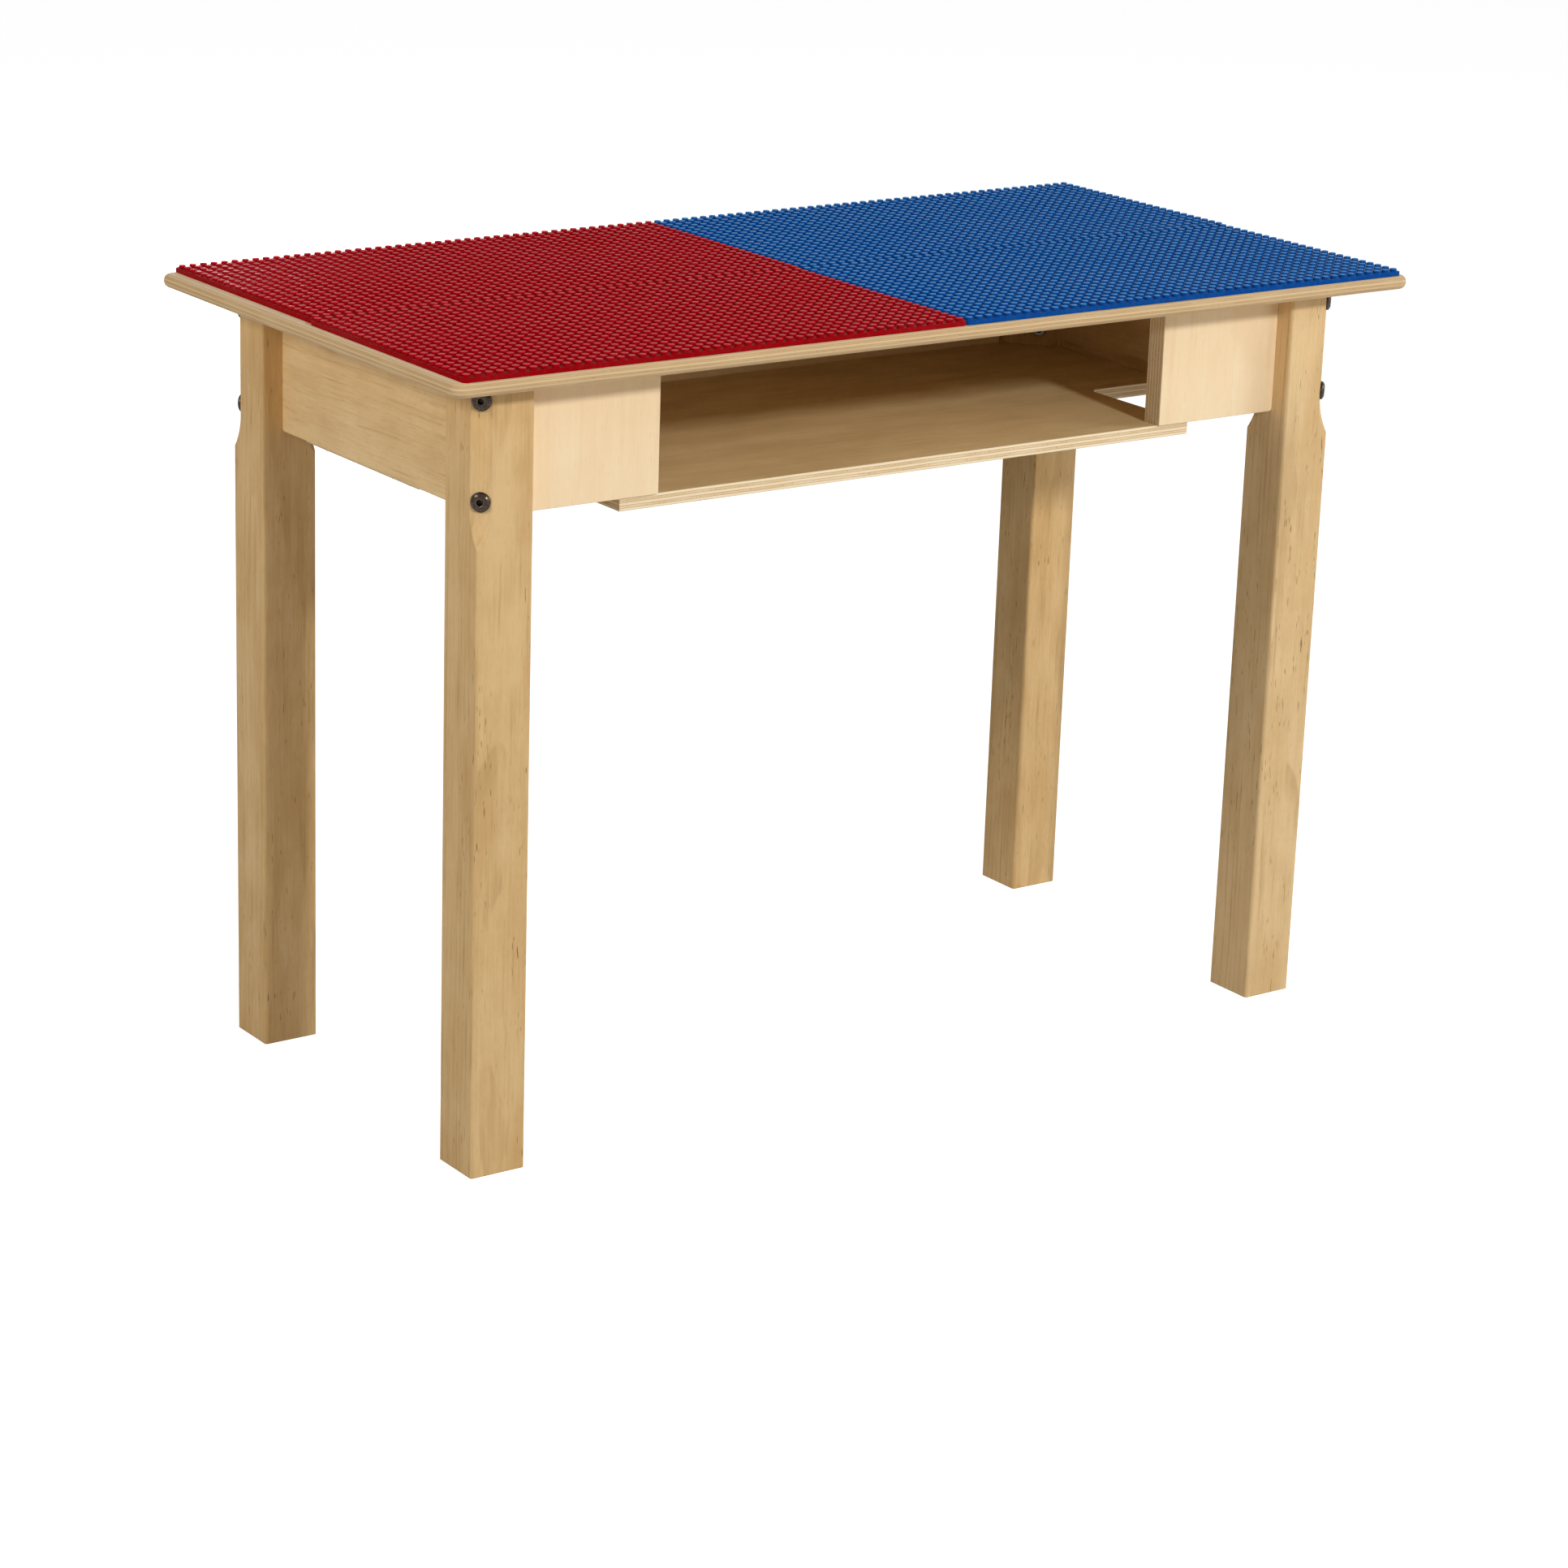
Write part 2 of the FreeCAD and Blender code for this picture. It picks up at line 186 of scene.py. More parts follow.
# Shader nodes
class Weaver:
    """Places nodes in one shader tree. An input is a number, a colour or another node's output."""

    def __init__(self, tree):
        self.tree = tree

    def node(self, kind, inputs=None, **settings):
        """One node, with its settings made and its inputs fed."""
        made = self.tree.nodes.new(kind)
        for name, value in settings.items():
            setattr(made, name, value)
        for name, value in (inputs or {}).items():
            self.feed(made.inputs[name], value)
        return made

    def feed(self, socket, value):
        """Links an output to a socket, or sets the socket to a value. None leaves it as it is."""
        if isinstance(value, bpy.types.NodeSocket):
            self.tree.links.new(value, socket)
        elif value is not None:
            socket.default_value = value

    def number(self, operation, first, second=None, clamp=False):
        """Arithmetic on numbers."""
        inputs = {0: first, 1: second}
        return self.node("ShaderNodeMath", inputs, operation=operation, use_clamp=clamp).outputs[0]

    def vector(self, operation, first, second=None):
        """Arithmetic on vectors. A length and a dot product come out as numbers."""
        made = self.node("ShaderNodeVectorMath", {0: first, 1: second}, operation=operation)
        single = operation in ("LENGTH", "DOT_PRODUCT")
        return made.outputs["Value" if single else "Vector"]

    def parts(self, vector):
        """The X, Y and Z of a vector."""
        return self.node("ShaderNodeSeparateXYZ", {0: vector}).outputs

    def joined(self, x, y, z):
        """A vector from its X, Y and Z."""
        return self.node("ShaderNodeCombineXYZ", {0: x, 1: y, 2: z}).outputs[0]

    def noise(self, vector, scale=1.0, detail=2.0, roughness=0.5):
        """Soft noise, first as a number and then as a colour."""
        inputs = {"Vector": vector, "Scale": scale, "Detail": detail, "Roughness": roughness}
        return self.node("ShaderNodeTexNoise", inputs).outputs

    def ramp(self, value, low, high, from_value=0.0, to_value=1.0):
        """Eases from one value to another while a number goes from low to high."""
        inputs = {"Value": value, "From Min": low, "From Max": high,
                  "To Min": from_value, "To Max": to_value}
        made = self.node("ShaderNodeMapRange", inputs, interpolation_type="SMOOTHSTEP")
        return made.outputs[0]

    def blend(self, share, first, second):
        """A share of the second colour over the first."""
        return self.node("ShaderNodeMix", {0: share, 6: first, 7: second}, data_type="RGBA").outputs[2]

    def between(self, share, first, second):
        """A number part of the way from the first to the second."""
        return self.node("ShaderNodeMix", {0: share, 2: first, 3: second}, data_type="FLOAT").outputs[0]

    def bump(self, height, strength, distance, normal):
        """The normal of a surface with a height over it."""
        inputs = {"Height": height, "Strength": strength, "Distance": distance, "Normal": normal}
        return self.node("ShaderNodeBump", inputs).outputs[0]


def shader_group(name, inputs, outputs):
    """Empty node group with named sockets, each (name, kind, default)."""
    group = bpy.data.node_groups.new(name, "ShaderNodeTree")
    for title, kind, default in inputs:
        socket = group.interface.new_socket(title, in_out="INPUT", socket_type="NodeSocket" + kind)
        if default is not None:
            socket.default_value = default
    for title, kind in outputs:
        group.interface.new_socket(title, in_out="OUTPUT", socket_type="NodeSocket" + kind)
    weaver = Weaver(group)
    taken = weaver.node("NodeGroupInput").outputs
    given = weaver.node("NodeGroupOutput")
    return group, weaver, taken, given


def wood_figure_group():
    """Figure of a sawn board. Place runs along the grain in Z, in metres."""
    group, w, taken, given = shader_group(
        "wood figure",
        [("Place", "Vector", None), ("Heart", "Vector", None), ("Pale", "Color", None),
         ("Warm", "Color", None), ("Ring", "Color", None), ("Rings per metre", "Float", 200.0),
         ("Ring strength", "Float", 0.3), ("Streak strength", "Float", 0.3),
         ("Fleck strength", "Float", 0.5)],
        [("Color", "Color"), ("Height", "Float"), ("Roughness", "Float")])
    place = taken["Place"]
    # Broad tone, clouds, fibres and pores, all drawn out along the grain
    broad = w.noise(w.vector("MULTIPLY", place, (34.0, 34.0, 4.0)), detail=2.0)[0]
    cloud = w.noise(w.vector("MULTIPLY", place, (42.0, 42.0, 16.0)), detail=4.0, roughness=0.6)[0]
    streak = w.noise(w.vector("MULTIPLY", place, (560.0, 560.0, 17.0)), detail=3.0)[0]
    pores = w.noise(w.vector("MULTIPLY", place, (2400.0, 2400.0, 130.0)), detail=1.0)[0]
    # Growth rings round a wandering heart, dark at their outer edge and broken here and there
    wander = w.noise(w.vector("MULTIPLY", place, (9.0, 9.0, 2.2)), detail=2.0)[1]
    wander = w.vector("MULTIPLY", w.vector("SUBTRACT", wander, (0.5, 0.5, 0.5)), (0.03, 0.03, 0.0))
    from_heart = w.vector("ADD", w.vector("SUBTRACT", place, taken["Heart"]), wander)
    radius = w.vector("LENGTH", w.vector("MULTIPLY", from_heart, (1.0, 1.0, 0.0)))
    uneven = w.noise(w.joined(w.number("MULTIPLY", radius, 60.0), 0.0, 0.0), detail=2.0)[0]
    turn = w.number("MULTIPLY", radius, taken["Rings per metre"])
    turn = w.number("FRACT", w.number("ADD", turn, w.number("MULTIPLY", uneven, 3.0)))
    late = w.number("MULTIPLY", w.ramp(turn, 0.55, 0.93), w.ramp(turn, 0.94, 1.0, 1.0, 0.0))
    broken = w.noise(w.vector("MULTIPLY", place, (110.0, 110.0, 15.0)), detail=2.0)[0]
    late = w.number("MULTIPLY", late, w.ramp(broken, 0.42, 0.62, 0.1, 1.0))
    # Darker fibres, and short brown dashes in some stretches
    line = w.number("MULTIPLY", w.ramp(streak, 0.58, 0.7), w.ramp(broken, 0.46, 0.64, 0.05, 1.0))
    dashes = w.noise(w.vector("MULTIPLY", place, (820.0, 820.0, 75.0)), detail=1.0)[0]
    fleck = w.number("MULTIPLY", w.ramp(dashes, 0.68, 0.75), w.ramp(broad, 0.36, 0.5))
    fleck = w.number("MULTIPLY", fleck, taken["Fleck strength"])
    # All of them laid over each other
    warmth = w.number("ADD", w.number("MULTIPLY", broad, 0.7), w.number("MULTIPLY", cloud, 0.9))
    warmth = w.number("ADD", warmth, w.number("MULTIPLY", streak, 0.4))
    colour = w.blend(w.ramp(warmth, 0.72, 1.28), taken["Pale"], taken["Warm"])
    colour = w.blend(w.number("MULTIPLY", late, taken["Ring strength"]), colour, taken["Ring"])
    colour = w.blend(w.number("MULTIPLY", line, taken["Streak strength"]), colour, taken["Ring"])
    colour = w.blend(w.ramp(pores, 0.56, 0.72, 0.0, 0.2), colour, taken["Ring"])
    colour = w.blend(fleck, colour, FLECK_BROWN)
    height = w.number("SUBTRACT", w.number("MULTIPLY", streak, 0.5), w.number("MULTIPLY", pores, 0.3))
    height = w.number("SUBTRACT", height, w.number("MULTIPLY", fleck, 0.4))
    w.feed(given.inputs["Color"], colour)
    w.feed(given.inputs["Height"], height)
    w.feed(given.inputs["Roughness"], w.ramp(streak, 0.3, 0.7, 0.42, 0.56))
    return group


def ply_layers_group():
    """Cut edge of plywood: plies by depth from one face, crossing plies darker and open."""
    group, w, taken, given = shader_group(
        "ply layers",
        [("Depth", "Float", 0.0), ("Ply", "Float", 1.4 * MM), ("Place", "Vector", None),
         ("Pale", "Color", None), ("Dark", "Color", None), ("Glue", "Color", None)],
        [("Color", "Color"), ("Height", "Float"), ("Roughness", "Float")])
    place = taken["Place"]
    # Plies that sway a little, every second one crossing, with dark glue between them
    sway = w.noise(w.vector("MULTIPLY", place, (14.0, 14.0, 14.0)), detail=2.0)[0]
    sway = w.number("MULTIPLY", w.number("SUBTRACT", sway, 0.5), 0.9 * MM)
    level = w.number("DIVIDE", w.number("ADD", taken["Depth"], sway), taken["Ply"])
    index = w.number("FLOOR", level)
    crossing = w.number("ABSOLUTE", w.number("MODULO", index, 2.0))
    within = w.number("FRACT", level)
    from_joint = w.number("MINIMUM", within, w.number("SUBTRACT", 1.0, within))
    glue = w.ramp(from_joint, 0.03, 0.14, 1.0, 0.0)
    own_tone = w.node("ShaderNodeTexWhiteNoise", {"W": index}, noise_dimensions="1D").outputs[0]
    # Fibres along the plies, and open end grain in the crossing ones
    across = w.parts(place)
    fibre_place = w.joined(w.number("MULTIPLY", across[0], 55.0), w.number("MULTIPLY", across[1], 55.0),
                           w.number("MULTIPLY", taken["Depth"], 2600.0))
    fibre = w.noise(fibre_place, detail=3.0)[0]
    open_grain = w.noise(w.vector("MULTIPLY", place, (900.0, 900.0, 900.0)), detail=3.0)[0]
    pits = w.number("MULTIPLY", w.ramp(open_grain, 0.55, 0.7), crossing)
    patch = w.noise(w.vector("MULTIPLY", place, (30.0, 30.0, 120.0)), detail=2.0)[0]
    dark = w.number("MULTIPLY", crossing, w.ramp(patch, 0.3, 0.65, 0.45, 0.95))
    dark = w.number("ADD", dark, w.number("MULTIPLY", w.number("SUBTRACT", fibre, 0.5), 0.9))
    dark = w.number("ADD", dark, w.number("MULTIPLY", own_tone, 0.22), clamp=True)
    colour = w.blend(dark, taken["Pale"], taken["Dark"])
    colour = w.blend(w.number("MULTIPLY", glue, 0.55), colour, taken["Glue"])
    colour = w.blend(w.number("MULTIPLY", pits, 0.4), colour, taken["Glue"])
    height = w.number("MULTIPLY", fibre, 0.4)
    height = w.number("SUBTRACT", height, w.number("MULTIPLY", crossing, 0.35))
    height = w.number("SUBTRACT", height, w.number("MULTIPLY", pits, 0.5))
    height = w.number("SUBTRACT", height, w.number("MULTIPLY", glue, 0.3))
    w.feed(given.inputs["Color"], colour)
    w.feed(given.inputs["Height"], height)
    w.feed(given.inputs["Roughness"], w.ramp(dark, 0.0, 1.0, 0.45, 0.62))
    return group


def edge_wear_and_sheen_group():
    """Mask along the edges of a piece, and its normal with the edges eased. Wood and plastic take the
    mask as wear, metal as a painted highlight.
    """
    group, w, taken, given = shader_group(
        "edge wear and sheen",
        [("Reach", "Float", 1.0 * MM), ("Place", "Vector", None)],
        [("Mask", "Float"), ("Normal", "Vector")])
    eased = w.node("ShaderNodeBevel", {"Radius": taken["Reach"]}, samples=6).outputs[0]
    straight = w.node("ShaderNodeNewGeometry").outputs["Normal"]
    turned_away = w.number("SUBTRACT", 1.0, w.vector("DOT_PRODUCT", eased, straight))
    rubbing = w.noise(w.vector("MULTIPLY", taken["Place"], (60.0, 60.0, 60.0)), detail=3.0)[0]
    mask = w.number("MULTIPLY", w.ramp(turned_away, 0.01, 0.16), w.ramp(rubbing, 0.3, 0.6, 0.3, 1.0))
    w.feed(given.inputs["Mask"], mask)
    w.feed(given.inputs["Normal"], eased)
    return group


def handling_group():
    """Faint smears and scratches of use: a change of roughness and a scratch height."""
    group, w, taken, given = shader_group(
        "handling marks",
        [("Place", "Vector", None), ("Scratch scale", "Float", 1.0)],
        [("Smear", "Float"), ("Scratch", "Float")])
    place = taken["Place"]
    smear = w.noise(w.vector("MULTIPLY", place, (17.0, 23.0, 19.0)), detail=4.0, roughness=0.6)[0]
    first = w.noise(w.vector("MULTIPLY", place, (1400.0, 60.0, 300.0)), taken["Scratch scale"])[0]
    second = w.noise(w.vector("MULTIPLY", place, (70.0, 1300.0, 300.0)), taken["Scratch scale"])[0]
    scratch = w.number("MAXIMUM", w.ramp(first, 0.7, 0.78), w.ramp(second, 0.7, 0.78))
    w.feed(given.inputs["Smear"], smear)
    w.feed(given.inputs["Scratch"], scratch)
    return group


WOOD_FIGURE = wood_figure_group()
PLY_LAYERS = ply_layers_group()
EDGE_WEAR_AND_SHEEN = edge_wear_and_sheen_group()
HANDLING = handling_group()


def new_material(name):
    """Material with its weaver, its shader and the place of a point on the object."""
    material = bpy.data.materials.new(name)
    material.use_nodes = True
    weaver = Weaver(material.node_tree)
    shader = material.node_tree.nodes["Principled BSDF"]
    place = weaver.node("ShaderNodeTexCoord").outputs["Object"]
    return material, weaver, shader, place


def placed(weaver, group, inputs):
    """One of the shared groups, placed in a material."""
    made = weaver.node("ShaderNodeGroup", node_tree=group)
    for name, value in inputs.items():
        weaver.feed(made.inputs[name], value)
    return made.outputs


def along_grain(weaver, place, along, cut):
    """The place turned so that the grain runs along Z, and moved to where the board was cut."""
    x, y, z = weaver.parts(place)[:3]
    turned = {"X": (y, z, x), "Y": (z, x, y), "Z": (x, y, z)}[along]
    return weaver.vector("ADD", weaver.joined(*turned), cut)


def maple(name, along, cut, heart, tones=(MAPLE_PALE, MAPLE_WARM), flecks=MAPLE_FLECKS):
    """Solid maple under a clear satin lacquer."""
    material, w, shader, place = new_material(name)
    pale, warm = tones
    board = along_grain(w, place, along, cut)
    figure = placed(w, WOOD_FIGURE, {
        "Place": board, "Heart": heart, "Pale": pale, "Warm": warm, "Ring": MAPLE_RING,
        "Rings per metre": 190.0, "Ring strength": 0.3, "Streak strength": 0.3,
        "Fleck strength": flecks})
    arris = placed(w, EDGE_WEAR_AND_SHEEN, {"Reach": 1.2 * MM, "Place": place})
    marks = placed(w, HANDLING, {"Place": place, "Scratch scale": 0.6})
    colour = w.blend(w.number("MULTIPLY", arris["Mask"], 0.4), figure["Color"], MAPLE_RUBBED)
    colour = w.blend(w.ramp(marks["Smear"], 0.4, 0.75, 0.0, 0.12), colour, MAPLE_RING)
    w.feed(shader.inputs["Base Color"], colour)
    rough = w.number("ADD", figure["Roughness"], w.ramp(marks["Smear"], 0.3, 0.7, -0.05, 0.06))
    w.feed(shader.inputs["Roughness"], rough)
    height = w.number("SUBTRACT", figure["Height"], w.number("MULTIPLY", marks["Scratch"], 0.15))
    w.feed(shader.inputs["Normal"], w.bump(height, 0.35, 0.12 * MM, arris["Normal"]))
    shader.inputs["Specular IOR Level"].default_value = WOOD_SPECULAR
    return material


def birch_ply(name, node, through, along, plies, cut, heart, tones, edge):
    """Birch plywood: veneer on the two faces of a node, its plies on every cut edge."""
    material, w, shader, place = new_material(name)
    low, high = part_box(node)
    axis = "XYZ".index(through)
    pale, warm = tones
    pale_ply, dark_ply, glue = edge
    board = along_grain(w, place, along, cut)
    veneer = placed(w, WOOD_FIGURE, {
        "Place": board, "Heart": heart, "Pale": pale, "Warm": warm, "Ring": BIRCH_RING,
        "Rings per metre": 60.0, "Ring strength": 0.14, "Streak strength": 0.07,
        "Fleck strength": 0.1})
    depth = w.number("SUBTRACT", w.parts(place)[axis], low[axis])
    layers = placed(w, PLY_LAYERS, {
        "Depth": depth, "Ply": (high[axis] - low[axis]) / plies, "Place": place,
        "Pale": pale_ply, "Dark": dark_ply, "Glue": glue})
    normal = w.node("ShaderNodeNewGeometry").outputs["Normal"]
    facing = w.vector("DOT_PRODUCT", normal, (EAST, NORTH, UP)[axis])
    sawn = w.ramp(w.number("ABSOLUTE", facing), 0.955, 0.99, 1.0, 0.0)
    arris = placed(w, EDGE_WEAR_AND_SHEEN, {"Reach": 0.8 * MM, "Place": place})
    marks = placed(w, HANDLING, {"Place": place, "Scratch scale": 0.5})
    colour = w.blend(sawn, veneer["Color"], layers["Color"])
    colour = w.blend(w.number("MULTIPLY", arris["Mask"], 0.3), colour, pale_ply)
    colour = w.blend(w.ramp(marks["Smear"], 0.45, 0.8, 0.0, 0.1), colour, BIRCH_RING)
    w.feed(shader.inputs["Base Color"], colour)
    rough = w.between(sawn, veneer["Roughness"], layers["Roughness"])
    rough = w.number("ADD", rough, w.ramp(marks["Smear"], 0.3, 0.7, -0.05, 0.06))
    w.feed(shader.inputs["Roughness"], rough)
    height = w.between(sawn, veneer["Height"], layers["Height"])
    height = w.number("SUBTRACT", height, w.number("MULTIPLY", marks["Scratch"], 0.15))
    w.feed(shader.inputs["Normal"], w.bump(height, 0.4, 0.12 * MM, arris["Normal"]))
    shader.inputs["Specular IOR Level"].default_value = WOOD_SPECULAR
    return material


def moulded_plastic(name, body, crown, scuffed):
    """Glossy moulded plastic with flow marks, with a painted sheen that makes the crowns and rims of
    the studs paler.
    """
    material, w, shader, place = new_material(name)
    marks = placed(w, HANDLING, {"Place": place, "Scratch scale": 1.0})
    arris = placed(w, EDGE_WEAR_AND_SHEEN, {"Reach": 0.3 * MM, "Place": place})
    flow = w.noise(w.vector("MULTIPLY", place, (28.0, 45.0, 45.0)), detail=3.0)[0]
    lot = w.noise(w.vector("MULTIPLY", place, (420.0, 420.0, 60.0)), detail=1.0)[0]
    worn = w.number("MULTIPLY", arris["Mask"], 0.35)
    # Painted sheen: the crowns and rims of the studs take a paler colour than the body, as light from
    # above makes them look
    level = w.parts(place)[2]
    painted_sheen = w.ramp(level, STUD_CROWN - 2 * STUD_ROUNDING, STUD_CROWN - STUD_ROUNDING / 2)
    colour = w.blend(w.ramp(flow, 0.3, 0.7, 0.0, 0.05), body, scuffed)
    colour = w.blend(painted_sheen, colour, crown)
    colour = w.blend(w.ramp(lot, 0.45, 0.7, 0.0, 0.05), colour, scuffed)
    worn = w.number("ADD", worn, w.number("MULTIPLY", marks["Scratch"], 0.15))
    colour = w.blend(worn, colour, scuffed)
    w.feed(shader.inputs["Base Color"], colour)
    w.feed(shader.inputs["Roughness"], w.ramp(marks["Smear"], 0.3, 0.7, 0.22, 0.34))
    height = w.number("MULTIPLY", lot, 0.3)
    height = w.number("SUBTRACT", height, w.number("MULTIPLY", marks["Scratch"], 0.4))
    w.feed(shader.inputs["Normal"], w.bump(height, 0.25, 0.06 * MM, arris["Normal"]))
    shader.inputs["Specular IOR Level"].default_value = PLASTIC_SPECULAR
    return material


def metal(name, body, painted_sheen, roughness, reach):
    """Coated metal, paler within reach of an edge as a painted highlight, with painted shade in its
    sockets, threads and other hollows.
    """
    material, w, shader, place = new_material(name)
    marks = placed(w, HANDLING, {"Place": place, "Scratch scale": 2.0})
    arris = placed(w, EDGE_WEAR_AND_SHEEN, {"Reach": reach, "Place": place})
    mottle = w.noise(w.vector("MULTIPLY", place, (700.0, 700.0, 700.0)), detail=3.0)[0]
    colour = w.blend(w.ramp(mottle, 0.35, 0.7, 0.0, 0.1), body, painted_sheen)
    # Painted highlight: the metal turns paler near its edges and on the rims of the bolts' heads
    colour = w.blend(w.number("MULTIPLY", arris["Mask"], 0.7), colour, painted_sheen)
    # Painted shade: the colour goes dark wherever the metal is closed in, in sockets, threads and
    # recesses and next to the wood
    reached = w.node("ShaderNodeAmbientOcclusion", {"Distance": HOLLOW_REACH}, samples=8)
    painted_hollow_shade = w.ramp(reached.outputs["AO"], 0.2, 0.5, 0.9, 0.0)
    colour = w.blend(painted_hollow_shade, colour, PAINTED_HOLLOW_SHADE)
    w.feed(shader.inputs["Base Color"], colour)
    w.feed(shader.inputs["Roughness"], w.ramp(mottle, 0.3, 0.7, roughness - 0.05, roughness + 0.06))
    w.feed(shader.inputs["Normal"], w.bump(mottle, 0.08, 0.03 * MM, arris["Normal"]))
    shader.inputs["Metallic"].default_value = 0.85
    return material


# Each plastic's crown colour is the painted sheen on its studs
RED_PLASTIC = moulded_plastic(
    "red plastic", body=srgb(151, 3, 10), crown=srgb(220, 44, 56), scuffed=srgb(218, 66, 76))
BLUE_PLASTIC = moulded_plastic(
    "blue plastic", body=srgb(2, 69, 147), crown=srgb(57, 142, 216), scuffed=srgb(82, 146, 212))
# The paler colour of each metal is its painted highlight near the edges
DARK_BRONZE = metal(
    "dark bronze", body=srgb(52, 43, 36), painted_sheen=srgb(168, 148, 126), roughness=0.22, reach=0.9 * MM)
ZINC_STEEL = metal(
    "zinc steel", body=srgb(150, 147, 140), painted_sheen=srgb(206, 202, 192), roughness=0.34, reach=0.35 * MM)


# Mesh building
def ring(centre, side, rise, radius_at, count):
    """Points round a centre, in the plane of two directions, at a radius that may follow the angle."""
    points = []
    for step in range(count):
        angle = 2 * math.pi * step / count
        radius = radius_at(angle)
        points.append(centre + side * (radius * math.cos(angle)) + rise * (radius * math.sin(angle)))
    return points


def skin(vertices, faces, rings, loop=False):
    """Adds a skin through rings of equal count, closed by two caps or back to the first ring."""
    count = len(rings[0])
    start = len(vertices)
    for points in rings:
        vertices.extend(points)
    pairs = [(level, level + 1) for level in range(len(rings) - 1)]
    if loop:
        pairs.append((len(rings) - 1, 0))
    for low, high in pairs:
        for step in range(count):
            after = (step + 1) % count
            faces.append((start + low * count + step, start + low * count + after,
                          start + high * count + after, start + high * count + step))
    if not loop:
        top = start + (len(rings) - 1) * count
        faces.append(tuple(start + step for step in reversed(range(count))))
        faces.append(tuple(top + step for step in range(count)))


def make_piece(name, vertices, faces, material, replaced=()):
    """Object of the table from its mesh, riding on the table's one body."""
    mesh = bpy.data.meshes.new(name)
    mesh.from_pydata([tuple(point) for point in vertices], [], faces)
    mesh.update()
    mesh.polygons.foreach_set("use_smooth", [True] * len(mesh.polygons))
    mesh.set_sharp_from_angle(angle=CRISP_ANGLE)
    mesh.materials.append(material)
    piece = bpy.data.objects.new(name, mesh)
    bpy.context.scene.collection.objects.link(piece)
    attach(piece, "root")
    if replaced:
        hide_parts(*replaced)


def circle(radius):
    """Radius function of a circle."""
    return lambda angle: radius


def hexagon(flats, limit=math.inf):
    """Radius function of a hexagon, its corners cut off at a circle."""
    def radius_at(angle):
        turn = (angle + math.pi / 6) % (math.pi / 3) - math.pi / 6
        return min(flats / 2 / math.cos(turn), limit)
    return radius_at


def cross(arm, half_width):
    """Radius function of a cross recess."""
    def radius_at(angle):
        along = max(abs(math.cos(angle)), abs(math.sin(angle)))
        beside = min(abs(math.cos(angle)), abs(math.sin(angle)))
        if beside * arm <= half_width * along:
            return arm / along
        return half_width / beside
    return radius_at


# Studded plates
def plate_outline(low, high, inset, z):
    """Rounded rectangle at one height, drawn in from the plate's outline."""
    radius = PLATE_CORNER - inset
    points = []
    corners = [(high.x, high.y, 0), (low.x, high.y, 1), (low.x, low.y, 2), (high.x, low.y, 3)]
    for x, y, quarter in corners:
        middle = Vector((x - math.copysign(PLATE_CORNER, x - (low.x + high.x) / 2),
                         y - math.copysign(PLATE_CORNER, y - (low.y + high.y) / 2), z))
        for step in range(PLATE_CORNER_STEPS + 1):
            angle = math.pi / 2 * (quarter + step / PLATE_CORNER_STEPS)
            points.append(middle + EAST * (radius * math.cos(angle))
                          + NORTH * (radius * math.sin(angle)))
    return points


def studded_plate(node, material):
    """Moulded sheet with a stud in every column and row."""
    low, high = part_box(node)
    deck = low.z + PLATE_THICKNESS
    vertices, faces = [], []
    levels = [(PLATE_ROUNDING, low.z), (0.0, low.z + PLATE_ROUNDING), (0.0, deck - PLATE_ROUNDING),
              (PLATE_ROUNDING * ARC_MIDDLE, deck - PLATE_ROUNDING * ARC_MIDDLE),
              (PLATE_ROUNDING, deck)]
    skin(vertices, faces, [plate_outline(low, high, inset, z) for inset, z in levels])
    centre = (low + high) / 2
    profile = [(STUD_RADIUS, -STUD_ROOT), (STUD_RADIUS, STUD_HEIGHT - STUD_ROUNDING),
               (STUD_RADIUS - STUD_ROUNDING * ARC_MIDDLE, STUD_HEIGHT - STUD_ROUNDING * ARC_MIDDLE),
               (STUD_RADIUS - STUD_ROUNDING, STUD_HEIGHT)]
    for column in range(PLATE_COLUMNS):
        x = centre.x + STUD_PITCH * (column + 1 / 2 - PLATE_COLUMNS / 2)
        for row in range(PLATE_ROWS):
            y = centre.y + STUD_PITCH * (row + 1 / 2 - PLATE_ROWS / 2)
            rings = [ring(Vector((x, y, deck + height)), EAST, NORTH, circle(radius), STUD_SIDES)
                     for radius, height in profile]
            skin(vertices, faces, rings)
    make_piece(node + "_studded", vertices, faces, material, [node])


def studded_plates():
    """Two red plates on the left and two blue ones on the right."""
    for colour, plastic in (("red", RED_PLASTIC), ("blue", BLUE_PLASTIC)):
        for end in ("front", "rear"):
            studded_plate(colour + "_plate_" + end, plastic)


# Leg joints
def joint_axes(leg):
    """Seat of the bolts on a leg's outer flat, and the directions along and across the bolts."""
    low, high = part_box(leg)
    x_side = math.copysign(1, low.x + high.x)
    y_side = math.copysign(1, low.y + high.y)
    corner = Vector((high.x if x_side > 0 else low.x, high.y if y_side > 0 else low.y, 0))
    inward = Vector((-x_side, -y_side, 0)).normalized()
    across = UP.cross(inward)
    return corner + inward * (RELIEF_LEG / math.sqrt(2)), inward, across


def bolt_levels():
    """Heights of the lower and the upper bolts."""
    low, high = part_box("leg_bolts")
    return (low.z + BOLT_HEAD_RADIUS, high.z - BOLT_HEAD_RADIUS)


def joint_grip():
    """Thickness of leg and block between a bolt's head and its nut."""
    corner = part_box("leg_rear_right")[1]
    end_face = corner.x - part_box("end_apron_right")[0].x
    side_face = corner.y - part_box("rear_apron")[0].y
    return (end_face + side_face - RELIEF_LEG) / math.sqrt(2) + BLOCK_REACH


